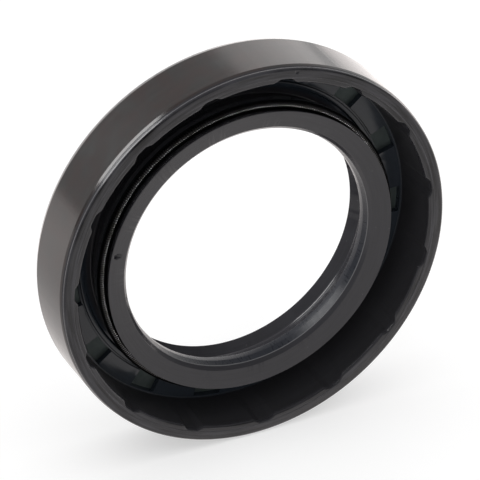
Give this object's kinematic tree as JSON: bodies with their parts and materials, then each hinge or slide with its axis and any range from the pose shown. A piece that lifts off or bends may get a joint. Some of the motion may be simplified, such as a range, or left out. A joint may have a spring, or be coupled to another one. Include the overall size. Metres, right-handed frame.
{
  "type": "radial shaft seal",
  "caption": "Rubber-covered radial shaft seal with a spring-loaded sealing lip, a dust lip and an embedded steel case, pressed into a housing round a turning shaft.",
  "frame": {"origin": "centre of the back (air side) face, on the seal's axis", "axes": "+Z along the seal's axis, from the back face to the open, sprung side; +X through the middle of one rim notch"},
  "size_m": [0.06, 0.06, 0.01],
  "materials": {
    "rubber": "satin black nitrile rubber, smooth where it was moulded",
    "case_steel": "dark phosphated sheet steel",
    "spring_steel": "drawn spring wire"
  },
  "bodies": {
    "root": {"rubber_body": "rubber", "steel_case": "case_steel", "garter_spring": "spring_steel"}
  },
  "joints": []
}
